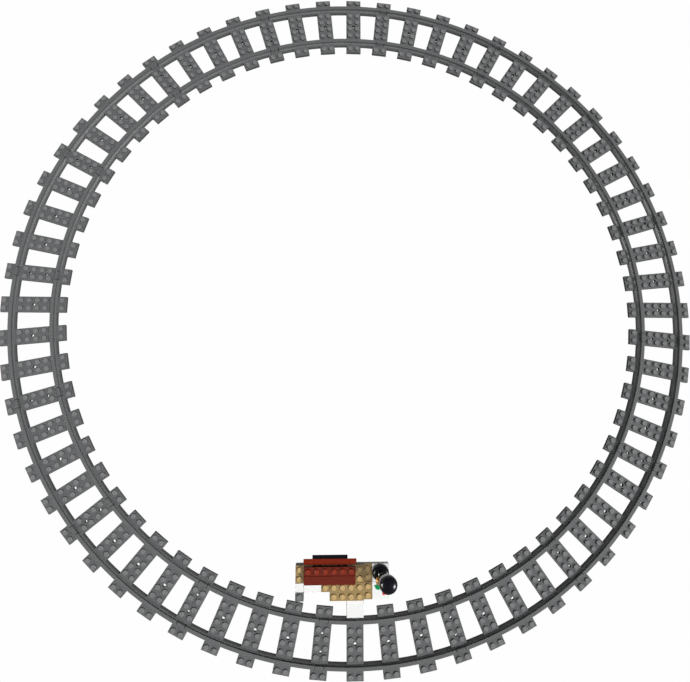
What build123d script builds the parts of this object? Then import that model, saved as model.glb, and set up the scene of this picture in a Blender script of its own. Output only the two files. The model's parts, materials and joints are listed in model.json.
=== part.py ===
"""Toy railway: a circle of sixteen curved track pieces with a small halt clipped to it.

Origin: centre of the circle, on the floor.  +Z up, the halt lies towards -Y.  Millimetres.
"""
from build123d import *
import math
import os

# ---------------------------------------------------------------- building system
pitch = 8.0               # stud to stud
plate_height = 3.2
stud_radius = 2.4
stud_height = 1.7
edge_gap = 0.1            # every piece is this much short of its grid cell, all round
wall = 1.4                # side wall of a moulded plate
recess_depth = 2.0        # hollow under a plate, a little deeper than a stud
tube_radius = 3.15        # tubes under plates two or more studs wide
tube_bore = 2.45
pin_radius = 1.5          # pins under plates one stud wide
edge_break = 0.15         # small chamfer on moulded edges
bar_radius = 1.6          # system bar, as gripped by a clip
running_gap = 0.05        # radial play between a bar and its clip or bore

# ---------------------------------------------------------------- track
segment_count = 16
sleepers_per_segment = 4
segment_angle = 360 / segment_count
sleeper_angle = segment_angle / sleepers_per_segment
track_radius = 40 * pitch                      # centre line
rail_offset = 2.5 * pitch                      # each rail from the centre line
sleeper_length = 8 * pitch - 2 * edge_gap
sleeper_width = 2 * pitch - 2 * edge_gap
joint_gap = 0.05                               # each side of a joint plane
half_sleeper_width = sleeper_width / 2 - joint_gap
rail_height = 7.0
rail_head_half = 1.7
rail_foot_half = 3.8
rail_step = 4.0                                # height where the foot meets the web
rail_ledge_half = 2.3
rail_toe = 1.2                                 # height of the foot's upright edge
joiner_length = 4.0                            # tongue past the joint plane
joiner_inset = 0.25                            # tongue is this much slimmer than the rail
tongue_root_half = 2.4
tongue_end_half = 3.3
sleeper_hole_radius = 1.5
joint_hole_radius = 1.2
sleeper_recess_depth = 1.6
first_joint_angle = -90 - sleeper_angle        # a full sleeper of the first piece lies at -90 degrees

# ---------------------------------------------------------------- halt
halt_west = -7 * pitch                         # west edge of column 1
halt_north = -31 * pitch                       # north edge of row 1
floor_layer = 0.0
lower_layer = plate_height
upper_layer = 2 * plate_height
bench_layer = 3 * plate_height
seat_layer = 4 * plate_height
ear_height = plate_height - 0.4                # web between a hinge plate and its ears

# bench back, turned about a bar behind the seat
back_lean = 23.0                               # degrees from upright at rest
back_columns = 6
carrier_columns = 4
hinge_y = halt_north + 2.9
hinge_z = bench_layer + plate_height / 2
ear_thickness = 1.8
ear_offset = 2.9
ear_radius = 2.6
mouth_start = 10                               # the ears' mouth, in degrees from level
mouth_end = 100
back_lift = 2.9                                # bar centre to the lower edge of the back
back_front = 2.7                               # bar centre to the back's front face
arm_half_width = pitch - 1.2                   # arm between the bar and the carrier plate

# lamp, built upright and then tipped a little to the east in the bore of its base
lamp_x = halt_west + 10 * pitch
lamp_y = halt_north - pitch
lamp_lean = 5.5                                # degrees
lamp_floor = upper_layer
base_radius = 7.9
base_rim = 1.2
base_crown = 4.2
bore_depth = 2.5                               # below the top of the dome
spigot_gap = 0.2                               # between the spigot's end and the bore's floor
post_rise = 0.3                                # post flange above the base's stud
clip_low = 22.0                                # neck between two collars, where the clip turns
clip_high = 26.0
post_top = 34.3
globe_height = 8.0
globe_foot_radius = 5.2
globe_radius = 7.7
globe_neck_radius = 6.8
cap_radius = 7.9
cap_rim = 0.8
cap_crown = 5.4
cap_flat = 0.4                                 # radius of the flat spot on top of the cap


def at_angle(radius, angle):
    """Plane point at a radius and an angle in degrees."""
    return (radius * math.cos(math.radians(angle)), radius * math.sin(math.radians(angle)))


def rail_profile(radius, head_half, ledge_half, foot_half, top, bottom):
    """Half-and-half outline of a rail, as points in the radial plane."""
    return [
        (radius - foot_half, bottom),
        (radius - foot_half, max(rail_toe, bottom)),
        (radius - ledge_half, rail_step),
        (radius - head_half, rail_step),
        (radius - head_half, top),
        (radius + head_half, top),
        (radius + head_half, rail_step),
        (radius + ledge_half, rail_step),
        (radius + foot_half, max(rail_toe, bottom)),
        (radius + foot_half, bottom),
    ]


def radial_plane(angle):
    """Upright plane through the origin, its x axis pointing outward at the angle."""
    outward = (math.cos(math.radians(angle)), math.sin(math.radians(angle)), 0)
    return Plane(origin=(0, 0, 0), x_dir=outward, z_dir=(outward[1], -outward[0], 0))


def save(part, name):
    """Label a finished piece and write it as one STEP file."""
    part.label = name
    export_step(part, f"parts/{name}.step")
    print(f"{name:28s} {part.volume:10.1f} mm3")


# ================================================================ track
stud_rows = [-3.5, -1.5, -0.5, 0.5, 1.5, 3.5]  # in pitches from the centre line; rails take the two gaps
inner_rail = track_radius - rail_offset
outer_rail = track_radius + rail_offset


def joiner_outline(rail_radius, side, clearance):
    """Dovetail tongue of a rail foot, growing from the joint plane at angle 0 towards side."""
    root = tongue_root_half + clearance
    end = tongue_end_half + clearance
    reach = joiner_length + clearance
    return [
        (rail_radius - root, -side * joint_gap),
        (rail_radius - end, side * reach),
        (rail_radius + end, side * reach),
        (rail_radius + root, -side * joint_gap),
    ]


def build_track_segment():
    """One curved piece, from its joint at angle 0 to its joint at the segment angle."""
    end_location = Location((0, 0, 0), (0, 0, segment_angle))
    half_centre = joint_gap + half_sleeper_width / 2
    with BuildPart() as segment:
        # sleepers, three whole ones and half of one at each end
        with BuildSketch() as sleepers:
            with PolarLocations(track_radius, 3, sleeper_angle, 2 * sleeper_angle, endpoint=True):
                Rectangle(sleeper_length, sleeper_width)
            with Locations((track_radius, half_centre)):
                Rectangle(sleeper_length, half_sleeper_width)
            with Locations(end_location):
                with Locations((track_radius, -half_centre)):
                    Rectangle(sleeper_length, half_sleeper_width)
        extrude(amount=plate_height)

        # socket for the neighbour's tongue: outer rail at the far end, inner rail at the near end
        with BuildSketch() as sockets:
            Polygon(*joiner_outline(inner_rail, 1, 0.1), align=None)
            with Locations(end_location):
                Polygon(*joiner_outline(outer_rail, -1, 0.1), align=None)
        extrude(amount=plate_height, mode=Mode.SUBTRACT)

        # rails between their joiners
        for radius, near, far in ((inner_rail, joiner_length + 0.1, -joiner_length),
                                  (outer_rail, joiner_length, -joiner_length - 0.1)):
            start = math.degrees(near / radius)
            stop = segment_angle + math.degrees(far / radius)
            with BuildSketch(radial_plane(start)) as section:
                Polygon(*rail_profile(radius, rail_head_half, rail_ledge_half, rail_foot_half,
                                      rail_height, 0), align=None)
            revolve(axis=Axis.Z, revolution_arc=stop - start)

        # joiners, a little slimmer, reaching over the joint plane
        slim_head = rail_head_half - joiner_inset
        slim_top = rail_height - joiner_inset
        for radius, start, stop in (
                (inner_rail, segment_angle - math.degrees(joiner_length / inner_rail),
                 segment_angle + math.degrees(joiner_length / inner_rail)),
                (outer_rail, -math.degrees(joiner_length / outer_rail),
                 math.degrees(joiner_length / outer_rail))):
            with BuildSketch(radial_plane(start)) as slim_section:
                Polygon(*[(radius - slim_head, plate_height - 0.4), (radius - slim_head, slim_top),
                          (radius + slim_head, slim_top), (radius + slim_head, plate_height - 0.4)],
                        align=None)
            revolve(axis=Axis.Z, revolution_arc=stop - start)
        with BuildSketch() as tongues:
            Polygon(*joiner_outline(outer_rail, -1, 0), align=None)
            with Locations(end_location):
                Polygon(*joiner_outline(inner_rail, 1, 0), align=None)
        extrude(amount=plate_height)

        # studs
        with BuildSketch(Plane.XY.offset(plate_height)) as studs:
            for row in stud_rows:
                for side in (-0.5, 0.5):
                    for index in (1, 2, 3):
                        with Locations(Location((0, 0, 0), (0, 0, index * sleeper_angle))):
                            with Locations((track_radius + row * pitch, side * pitch)):
                                Circle(stud_radius)
                with Locations((track_radius + row * pitch, pitch / 2)):
                    Circle(stud_radius)
                with Locations(end_location):
                    with Locations((track_radius + row * pitch, -pitch / 2)):
                        Circle(stud_radius)
        extrude(amount=stud_height)
        stud_tops = segment.edges().filter_by(GeomType.CIRCLE).filter_by_position(
            Axis.Z, plate_height + stud_height - 0.01, plate_height + stud_height + 0.01)
        chamfer(stud_tops, edge_break)

        # screw holes: one in each whole sleeper, two half ones in each end
        with BuildSketch() as holes:
            with PolarLocations(track_radius, 3, sleeper_angle, 2 * sleeper_angle, endpoint=True):
                Circle(sleeper_hole_radius)
            for offset in (-pitch, pitch):
                with Locations((track_radius + offset, 0)):
                    Circle(joint_hole_radius)
                with Locations(end_location):
                    with Locations((track_radius + offset, 0)):
                        Circle(joint_hole_radius)
        extrude(amount=plate_height, mode=Mode.SUBTRACT)

        # hollows under the sleepers, with a boss left round each screw hole
        hollow_length = 2 * (rail_offset - rail_foot_half - wall)
        with BuildSketch() as hollows:
            with PolarLocations(track_radius, 3, sleeper_angle, 2 * sleeper_angle, endpoint=True):
                Rectangle(hollow_length, sleeper_width - 2 * wall)
                Circle(sleeper_hole_radius + wall, mode=Mode.SUBTRACT)
            with Locations((track_radius, half_centre)):
                Rectangle(hollow_length, half_sleeper_width - 2 * wall)
            with Locations(end_location):
                with Locations((track_radius, -half_centre)):
                    Rectangle(hollow_length, half_sleeper_width - 2 * wall)
        extrude(amount=sleeper_recess_depth, mode=Mode.SUBTRACT)
    return segment.part


# ================================================================ plates and tiles of the halt
def cell_centre(column, row, columns, rows):
    """Centre of a block of grid cells, counted east from column 1 and south from row 1."""
    return (halt_west + (column - 1 + columns / 2) * pitch,
            halt_north - (row - 1 + rows / 2) * pitch)


def moulded_plate(columns, rows, stud_places):
    """Hollow plate centred on the origin, its underside on Z = 0, with studs at the given places."""
    length = columns * pitch - 2 * edge_gap
    width = rows * pitch - 2 * edge_gap
    with BuildPart() as plate:
        with BuildSketch():
            Rectangle(length, width)
        extrude(amount=plate_height)
        chamfer(plate.faces().sort_by(Axis.Z)[-1].edges(), edge_break)
        with BuildSketch():
            Rectangle(length - 2 * wall, width - 2 * wall)
        extrude(amount=recess_depth, mode=Mode.SUBTRACT)
        if columns > 1 and rows > 1:
            with BuildSketch():
                with GridLocations(pitch, pitch, columns - 1, rows - 1):
                    Circle(tube_radius)
                    Circle(tube_bore, mode=Mode.SUBTRACT)
            extrude(amount=recess_depth)
        elif columns * rows > 1:
            with BuildSketch():
                with GridLocations(pitch, pitch, max(columns - 1, 1), max(rows - 1, 1)):
                    Circle(pin_radius)
            extrude(amount=recess_depth)
        if stud_places:
            with BuildSketch(Plane.XY.offset(plate_height)):
                with Locations(*stud_places):
                    Circle(stud_radius)
            extrude(amount=stud_height)
            chamfer(plate.edges().filter_by(GeomType.CIRCLE).group_by(Axis.Z)[-1], edge_break)
    return plate.part


def stud_grid(columns, rows):
    """Stud centres of a plain plate centred on the origin."""
    return [((i - (columns - 1) / 2) * pitch, (j - (rows - 1) / 2) * pitch)
            for i in range(columns) for j in range(rows)]


def place_on_halt(part, column, row, columns, rows, layer):
    """Move a centred plate to its grid cells and layer."""
    x, y = cell_centre(column, row, columns, rows)
    return part.moved(Location((x, y, layer)))


# name, first column, first row, columns, rows, layer, kind
halt_pieces = [
    ("floor_plate_1x4_west", 1, 1, 1, 4, floor_layer, "studs"),
    ("floor_plate_2x3_west", 2, 1, 2, 3, floor_layer, "studs"),
    ("floor_plate_1x3", 4, 1, 1, 3, floor_layer, "studs"),
    ("floor_plate_2x4_middle", 5, 1, 2, 4, floor_layer, "studs"),
    ("floor_plate_1x2_north", 7, 1, 2, 1, floor_layer, "studs"),
    ("floor_plate_2x4_track", 7, 2, 2, 4, floor_layer, "studs"),
    ("floor_plate_2x4_east", 9, 1, 2, 4, floor_layer, "studs"),
    ("floor_plate_1x4_lamp", 11, 1, 1, 4, floor_layer, "studs"),
    ("lower_plate_2x6", 1, 1, 6, 2, lower_layer, "studs"),
    ("lower_plate_2x2", 7, 1, 2, 2, lower_layer, "studs"),
    ("lower_plate_1x2_east", 9, 1, 1, 2, lower_layer, "studs"),
    ("lower_plate_1x2", 4, 3, 2, 1, lower_layer, "studs"),
    ("lower_plate_1x1", 5, 4, 1, 1, lower_layer, "studs"),
    ("lower_plate_2x4", 6, 3, 4, 2, lower_layer, "studs"),
    ("lower_plate_1x2_west", 1, 3, 1, 2, lower_layer, "studs"),
    ("lower_plate_1x2_middle", 2, 3, 2, 1, lower_layer, "studs"),
    ("snow_tile_2x2_east", 10, 3, 2, 2, lower_layer, "smooth"),
    ("lamp_jumper_plate", 10, 1, 2, 2, lower_layer, "centre"),
    ("track_link_tile_2x2", 7, 5, 2, 2, lower_layer, "smooth"),
    ("upper_plate_2x8", 1, 1, 8, 2, upper_layer, "studs"),
    ("snow_tile_1x1", 1, 3, 1, 1, upper_layer, "smooth"),
    ("snow_tile_1x2", 2, 3, 2, 1, upper_layer, "smooth"),
    ("grey_plate_1x1", 1, 4, 1, 1, upper_layer, "studs"),
    ("upper_plate_1x1", 4, 3, 1, 1, upper_layer, "studs"),
    ("upper_plate_2x4", 5, 3, 4, 2, upper_layer, "studs"),
    ("bench_riser_west", 2, 1, 1, 2, bench_layer, "studs"),
    ("bench_riser_middle", 4, 1, 2, 2, bench_layer, "studs"),
    ("bench_riser_east", 7, 1, 1, 2, bench_layer, "studs"),
    ("seat_plate_1x6", 2, 1, 6, 1, seat_layer, "studs"),
    ("seat_tile_1x6", 2, 2, 6, 1, seat_layer, "smooth"),
]


def halt_piece(columns, rows, kind):
    """A plate, a smooth tile, or a jumper with one stud in its middle."""
    places = {"studs": stud_grid(columns, rows), "smooth": [], "centre": [(0, 0)]}[kind]
    return moulded_plate(columns, rows, places)


# ================================================================ bench back and its hinges
def build_hinge_plate(column):
    """Plate two studs deep with two clip ears behind it, for the bar of the bench back."""
    x, y = cell_centre(column, 1, 1, 2)
    plate = moulded_plate(1, 2, stud_grid(1, 2)).moved(Location((x, y, bench_layer)))
    grip = bar_radius + running_gap
    back_face = halt_north - edge_gap
    with BuildPart() as hinge_plate:
        add(plate)
        for side in (-1, 1):
            ear_plane = Plane(origin=(x + side * ear_offset - ear_thickness / 2, hinge_y, hinge_z),
                              x_dir=(0, 1, 0), z_dir=(1, 0, 0))
            with BuildSketch(ear_plane) as ear:
                Circle(ear_radius)
                with Locations(((back_face - hinge_y) / 2, 0)):
                    Rectangle(hinge_y - back_face, ear_height)
                Circle(grip, mode=Mode.SUBTRACT)
                Polygon((0, 0), at_angle(3 * ear_radius, mouth_start), at_angle(3 * ear_radius, mouth_end),
                        align=None, mode=Mode.SUBTRACT)
            extrude(amount=ear_thickness)
    return hinge_plate.part


back_plane = Plane(
    origin=(halt_west + (1 + back_columns / 2) * pitch, hinge_y, hinge_z),
    x_dir=(1, 0, 0),
    z_dir=(0, -math.cos(math.radians(back_lean)), math.sin(math.radians(back_lean))),
)


def on_back(part, up, out):
    """Put a plate that was built flat on the leaning back: up along it, out from the bar's axis."""
    return part.moved(back_plane.location * Location((0, up, out)))


def build_back_carrier():
    """Plate behind the back with the bar that turns in the ears, joined by one wide arm."""
    half_height = 2 * pitch / 2
    plate = moulded_plate(carrier_columns, 2, stud_grid(carrier_columns, 2))
    carrier_out = back_front - 2 * plate_height
    bar_half = carrier_columns * pitch / 2 - edge_gap
    bar_origin = back_plane.origin - Vector(bar_half, 0, 0)
    arm_origin = back_plane.origin - Vector(arm_half_width, 0, 0)
    arm_waist = 0.75 * bar_radius
    arm_root = back_lift + 0.6
    plate_front = carrier_out + plate_height
    with BuildPart() as carrier:
        add(on_back(plate, back_lift + half_height, carrier_out))
        with BuildSketch(Plane(origin=bar_origin, x_dir=(0, 1, 0), z_dir=(1, 0, 0))):
            Circle(bar_radius)
        extrude(amount=2 * bar_half)
        # in the arm's plane x runs up the back and y runs out towards the seat
        with BuildSketch(Plane(origin=arm_origin, x_dir=back_plane.y_dir, z_dir=(1, 0, 0))):
            Polygon((-0.5 * bar_radius, -arm_waist), (arm_root, carrier_out + 0.05),
                    (arm_root, plate_front - 0.6), (back_lift - 0.1, plate_front - 0.2),
                    (0.4 * bar_radius, 0.85 * bar_radius), (-0.5 * bar_radius, arm_waist), align=None)
        extrude(amount=2 * arm_half_width)
    return carrier.part


def build_back_tile(row):
    """Smooth tile of the back, row 0 below and row 1 above."""
    tile = moulded_plate(back_columns, 1, [])
    return on_back(tile, back_lift + (row + 0.5) * pitch, back_front - plate_height)


# ================================================================ lamp
lamp_plane = Plane(origin=(lamp_x, lamp_y, 0), x_dir=(1, 0, 0), z_dir=(0, -1, 0))
lamp_axis = Axis((lamp_x, lamp_y, 0), (0, 0, 1))
dome_top = lamp_floor + base_rim + base_crown
lean_axis = Axis((lamp_x, lamp_y, dome_top), (0, 1, 0))
bore_radius = bar_radius + running_gap
socket_radius = stud_radius + edge_gap
post_foot = dome_top + stud_height + post_rise


def tipped(part):
    """Tip an upright lamp piece east, about the point where the post leaves the dome."""
    return part.rotate(lean_axis, lamp_lean)


def turned(points):
    """Solid turned about the lamp's axis from an outline of (radius, height) points."""
    with BuildPart() as body:
        with BuildSketch(lamp_plane):
            Polygon(*points, align=None)
        revolve(axis=lamp_axis)
    return body.part


def dome_profile(radius, rim, height, base, flat):
    """Half outline of a dome: upright rim, then an elliptic crown to a small flat of the given radius."""
    with BuildLine() as line:
        Line((0, base), (radius, base))
        Line((radius, base), (radius, base + rim))
        crown = EllipticalCenterArc((flat, base + rim), radius - flat, height, arc_size=90)
        Line(crown @ 1, (0, base + rim + height))
        Line((0, base + rim + height), (0, base))
    return line


def lamp_disc(height, radius):
    """Sketch of a disc across the lamp's axis."""
    with BuildSketch(Plane.XY.offset(height)) as disc:
        with Locations((lamp_x, lamp_y)):
            Circle(radius)
    return disc.sketch


def build_lamp_base():
    """Domed round foot with a hollow stud that takes the leaning post."""
    with BuildPart(mode=Mode.PRIVATE) as bore:
        extrude(lamp_disc(dome_top - bore_depth, bore_radius), amount=bore_depth + 2 * stud_height)
    with BuildPart() as base:
        with BuildSketch(lamp_plane):
            with BuildLine():
                add(dome_profile(base_radius, base_rim, base_crown, lamp_floor, stud_radius + 0.6))
            make_face()
        revolve(axis=lamp_axis)
        extrude(lamp_disc(dome_top, stud_radius), amount=stud_height)
        # socket below for the jumper's stud
        extrude(lamp_disc(lamp_floor, socket_radius), amount=recess_depth, mode=Mode.SUBTRACT)
        add(tipped(bore.part), mode=Mode.SUBTRACT)
    return base.part


def build_lamp_post():
    """Turned post: spigot, foot flange, shaft with two collars round the clip, and a spread head."""
    shaft = 2.0
    collar = 3.0
    head = 4.6
    spigot_end = dome_top - bore_depth + spigot_gap
    outline = [
        (0, spigot_end), (bar_radius, spigot_end), (bar_radius, post_foot),
        (3.4, post_foot), (3.4, post_foot + 0.9), (2.7, post_foot + 1.8), (shaft, post_foot + 3.2),
        (shaft, clip_low - 2.6), (collar, clip_low - 1.9), (collar, clip_low - 1.0),
        (bar_radius, clip_low - 0.3), (bar_radius, clip_high + 0.3),
        (collar, clip_high + 1.0), (collar, clip_high + 1.9), (shaft, clip_high + 2.6),
        (shaft, post_top - 4.2), (2.6, post_top - 3.4), (head, post_top - 1.0), (head, post_top),
        (stud_radius, post_top), (stud_radius, post_top + stud_height), (0, post_top + stud_height),
    ]
    return tipped(turned(outline))


def build_lamp_globe():
    """White round lamp glass, bulging in the middle, with sockets for the studs below and above."""
    low = post_top
    high = post_top + globe_height
    with BuildPart() as globe:
        with BuildSketch(lamp_plane):
            with BuildLine():
                Line((0, low), (globe_foot_radius, low))
                ThreePointArc((globe_foot_radius, low), (globe_radius, low + globe_height / 2),
                              (globe_neck_radius, high))
                Line((globe_neck_radius, high), (0, high))
                Line((0, high), (0, low))
            make_face()
        revolve(axis=lamp_axis)
        extrude(lamp_disc(low, socket_radius), amount=recess_depth, mode=Mode.SUBTRACT)
        extrude(lamp_disc(high, stud_radius), amount=stud_height)
    return tipped(globe.part)


def build_lamp_cap():
    """Smooth domed cap over the glass."""
    low = post_top + globe_height
    with BuildPart() as cap:
        with BuildSketch(lamp_plane):
            with BuildLine():
                add(dome_profile(cap_radius, cap_rim, cap_crown, low, cap_flat))
            make_face()
        revolve(axis=lamp_axis)
        extrude(lamp_disc(low, socket_radius), amount=recess_depth, mode=Mode.SUBTRACT)
    return tipped(cap.part)


# ---------------------------------------------------------------- ornaments on a clip that turns on the post
clip_middle = (clip_low + clip_high) / 2
clip_wall = 1.4
clip_play = 0.2                                # end play between the post's collars
twig_half = 0.8
twig_top = clip_middle + twig_half
peg_radius = 0.8
peg_height = 1.4
ornament_thickness = 1.6
bud_spot = (lamp_x - 5.9, lamp_y - 1.1)
leaf_spot = (lamp_x - 6.0, lamp_y - 7.3)
bloom_spot = (lamp_x + 0.8, lamp_y - 10.6)
fork = (lamp_x - 1.4, lamp_y - 5.6)
bud_length = 6.6
bud_radius = 2.3
leaf_turn = -25                                # degrees, long axis from +X


def twig(start, end):
    """Centre and turn of a straight twig between two points in plan, and its length."""
    dx = end[0] - start[0]
    dy = end[1] - start[1]
    centre = ((start[0] + end[0]) / 2, (start[1] + end[1]) / 2)
    return Location((*centre, 0), (0, 0, math.degrees(math.atan2(dy, dx)))), math.hypot(dx, dy)


def build_ornament_clip():
    """Open clip round the post with a forked stem, and an upright peg at the end of each twig."""
    root = (lamp_x, lamp_y - bore_radius - twig_half - 0.1)
    with BuildPart() as clip:
        with BuildSketch(Plane.XY.offset(clip_low + clip_play)):
            with Locations((lamp_x, lamp_y)):
                Circle(bore_radius + clip_wall)
                Circle(bore_radius, mode=Mode.SUBTRACT)
            with Locations((lamp_x, lamp_y + bore_radius + clip_wall / 2)):
                Rectangle(2.2, 2.2, mode=Mode.SUBTRACT)
        extrude(amount=clip_high - clip_low - 2 * clip_play)
        with BuildSketch(Plane.XY.offset(clip_middle - twig_half)):
            for start, end in ((root, fork), (fork, bloom_spot), (fork, leaf_spot), (fork, bud_spot)):
                place, length = twig(start, end)
                with Locations(place):
                    SlotCenterToCenter(length, 2 * twig_half)
        extrude(amount=2 * twig_half)
        with BuildSketch(Plane.XY.offset(clip_middle)):
            with Locations(bud_spot, leaf_spot, bloom_spot):
                Circle(peg_radius)
        extrude(amount=twig_half + peg_height)
    return tipped(clip.part)


def build_gold_bud():
    """Spindle-shaped bud lying north to south on its peg."""
    bud_plane = Plane(origin=(*bud_spot, twig_top + bud_radius - 0.3), x_dir=(0, -1, 0), z_dir=(0, 0, 1))
    north = -bud_length / 2
    south = bud_length / 2
    with BuildPart() as bud:
        with BuildSketch(bud_plane):
            with BuildLine():
                Line((north, 0), (north, 0.7))
                Spline((north, 0.7), (-0.6, bud_radius), (south, 1.1), tangents=((1, 0.9), (1, -0.5)))
                Line((south, 1.1), (south, 0))
                Line((south, 0), (north, 0))
            make_face()
        revolve(axis=Axis(bud_plane.origin, bud_plane.x_dir))
        with BuildSketch(Plane.XY.offset(twig_top)):
            with Locations(bud_spot):
                Rectangle(2 * bud_length, 2 * bud_length)
        extrude(amount=-bud_radius, mode=Mode.SUBTRACT)
        with BuildSketch(Plane.XY.offset(twig_top)):
            with Locations(bud_spot):
                Circle(peg_radius)
        extrude(amount=peg_height, mode=Mode.SUBTRACT)
    return tipped(bud.part)


def build_green_leaf():
    """Long leaf with four side lobes lying on its twig."""
    with BuildPart() as leaf:
        with BuildSketch(Plane.XY.offset(twig_top)):
            with Locations(Location((*leaf_spot, 0), (0, 0, leaf_turn))):
                Ellipse(3.7, 1.7)
                with Locations((-1.5, 0.0), (0.9, 0.0)):
                    Ellipse(1.5, 2.1)
                Circle(peg_radius, mode=Mode.SUBTRACT)
        extrude(amount=ornament_thickness)
    return tipped(leaf.part)


def build_red_bloom():
    """Five-petalled flower lying on the end of the stem."""
    with BuildPart() as bloom:
        with BuildSketch(Plane.XY.offset(twig_top)):
            with Locations(bloom_spot):
                Circle(2.0)
                with PolarLocations(2.4, 5, start_angle=18):
                    Circle(1.5)
                Circle(peg_radius, mode=Mode.SUBTRACT)
        extrude(amount=ornament_thickness)
    return tipped(bloom.part)


# ================================================================ write every piece
os.makedirs("parts", exist_ok=True)

track_segment = build_track_segment()
for number in range(1, segment_count + 1):
    turn = first_joint_angle + (number - 1) * segment_angle
    save(track_segment.rotate(Axis.Z, turn), f"track_curve_{number:02d}")

for name, column, row, columns, rows, layer, kind in halt_pieces:
    save(place_on_halt(halt_piece(columns, rows, kind), column, row, columns, rows, layer), name)

save(build_hinge_plate(3), "bench_hinge_plate_west")
save(build_hinge_plate(6), "bench_hinge_plate_east")
save(build_back_carrier(), "bench_back_carrier")
save(build_back_tile(0), "bench_back_tile_lower")
save(build_back_tile(1), "bench_back_tile_upper")

save(build_lamp_base(), "lamp_base")
save(build_lamp_post(), "lamp_post")
save(build_lamp_globe(), "lamp_globe")
save(build_lamp_cap(), "lamp_cap")
save(build_ornament_clip(), "ornament_clip")
save(build_gold_bud(), "gold_bud")
save(build_green_leaf(), "green_leaf")
save(build_red_bloom(), "red_bloom")
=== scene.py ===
"""Looks of a toy railway circle with a small halt: moulded plastic pieces, floor, lights and camera.

Metres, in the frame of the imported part: origin at the centre of the circle on the floor, +Z up.
"""

import json
import math

import bmesh
import bpy
from mathutils import Matrix, Vector


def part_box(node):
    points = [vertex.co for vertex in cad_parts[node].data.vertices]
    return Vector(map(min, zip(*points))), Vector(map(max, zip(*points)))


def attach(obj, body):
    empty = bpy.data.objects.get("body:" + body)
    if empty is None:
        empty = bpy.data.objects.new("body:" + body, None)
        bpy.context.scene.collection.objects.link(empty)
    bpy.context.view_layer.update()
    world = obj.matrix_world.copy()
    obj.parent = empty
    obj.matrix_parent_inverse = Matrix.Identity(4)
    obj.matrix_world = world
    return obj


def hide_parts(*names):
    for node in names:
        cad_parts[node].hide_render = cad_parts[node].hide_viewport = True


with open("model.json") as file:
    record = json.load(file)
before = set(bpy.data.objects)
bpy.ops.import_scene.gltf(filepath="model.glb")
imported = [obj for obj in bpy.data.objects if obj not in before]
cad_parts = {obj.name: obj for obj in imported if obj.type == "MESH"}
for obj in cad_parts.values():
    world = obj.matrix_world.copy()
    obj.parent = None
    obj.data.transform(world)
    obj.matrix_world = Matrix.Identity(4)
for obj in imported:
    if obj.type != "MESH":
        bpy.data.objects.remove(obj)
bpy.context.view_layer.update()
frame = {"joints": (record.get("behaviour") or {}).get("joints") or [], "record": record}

mm = 0.001
bpy.context.scene.view_settings.view_transform = "Standard"

# ---------------------------------------------------------------- building system, in millimetres
pitch = 8.0
plate_height = 3.2
stud_radius = 2.4
stud_height = 1.7
edge_gap = 0.1
wall = 1.4
recess_depth = 2.0
tube_radius = 3.15
tube_bore = 2.45
pin_radius = 1.5
bar_radius = 1.6
running_gap = 0.05
platform_top = 3 * plate_height
stud_sides = 20
stud_root = 0.3             # depth that a stud or tube runs into its plate
edge_round = 0.22           # rounding of moulded edges

# ---------------------------------------------------------------- track
segment_angle = 22.5
sleeper_angle = segment_angle / 4
first_joint_angle = -90 - sleeper_angle
track_radius = 40 * pitch
inner_rail = track_radius - 2.5 * pitch
outer_rail = track_radius + 2.5 * pitch
sleeper_half_length = 4 * pitch - edge_gap
sleeper_half_width = pitch - edge_gap
joint_gap = 0.05
stud_rows = (-3.5, -1.5, -0.5, 0.5, 1.5, 3.5)
rail_foot_half = 3.8
rail_toe = 1.2
rail_ledge_half = 2.3
rail_ledge = 3.9
rail_web_half = 1.5
rail_head_half = 1.7
rail_height = 7.0
joiner_length = 4.0
joiner_seam = 0.6           # open seam between a rail and the neighbour's joiner
joiner_inset = 0.25
tongue_root_half = 2.4
tongue_end_half = 3.3
socket_play = 0.1
screw_hole_radius = 1.5
joint_hole_radius = 1.2
boss_wall = 1.4
sleeper_recess = 1.6

# ---------------------------------------------------------------- bench back and lamp
back_lean = math.radians(23)
back_lift = 2.9
back_front = 2.7
ear_thickness = 1.8
ear_offset = 2.9
ear_radius = 2.6
lamp_floor = 6.4
base_radius = 7.9
base_rim = 1.2
base_crown = 4.2
clip_low = 22.0
clip_high = 26.0
post_top = 34.3
globe_height = 8.0
cap_radius = 7.9
cap_rim = 0.8
cap_crown = 5.4


# ================================================================ camera
def aim_camera():
    """Nearly overhead, over the middle of the circle's lower half, so that the inner sides show."""
    camera = bpy.data.objects.new("camera", bpy.data.cameras.new("camera"))
    bpy.context.scene.collection.objects.link(camera)
    camera.location = (-0.0306, -0.1102, 0.5065)
    camera.rotation_euler = (math.radians(8.449), math.radians(-2.433), math.radians(0.004))
    camera.data.sensor_fit = "HORIZONTAL"
    camera.data.sensor_width = 36
    camera.data.lens = 26.262
    camera.data.shift_x = -0.0003
    camera.data.shift_y = 0.0005
    bpy.context.scene.camera = camera


aim_camera()


# ================================================================ modelling helpers
def only(piece):
    """Select one object and make it the active one."""
    bpy.ops.object.select_all(action="DESELECT")
    piece.select_set(True)
    bpy.context.view_layer.objects.active = piece
    return piece


def added(name):
    """Name the object that an operator has just added, and put its place into its mesh."""
    piece = bpy.context.object
    piece.name = name
    piece.data.name = name
    bpy.ops.object.transform_apply(location=True, rotation=True, scale=True)
    return piece


def block(name, low, high):
    """Box between two corners, in millimetres."""
    bpy.ops.object.select_all(action="DESELECT")
    centre = [(a + b) / 2 * mm for a, b in zip(low, high)]
    size = [(b - a) * mm for a, b in zip(low, high)]
    bpy.ops.mesh.primitive_cube_add(size=1, location=centre, scale=size)
    return added(name)


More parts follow.
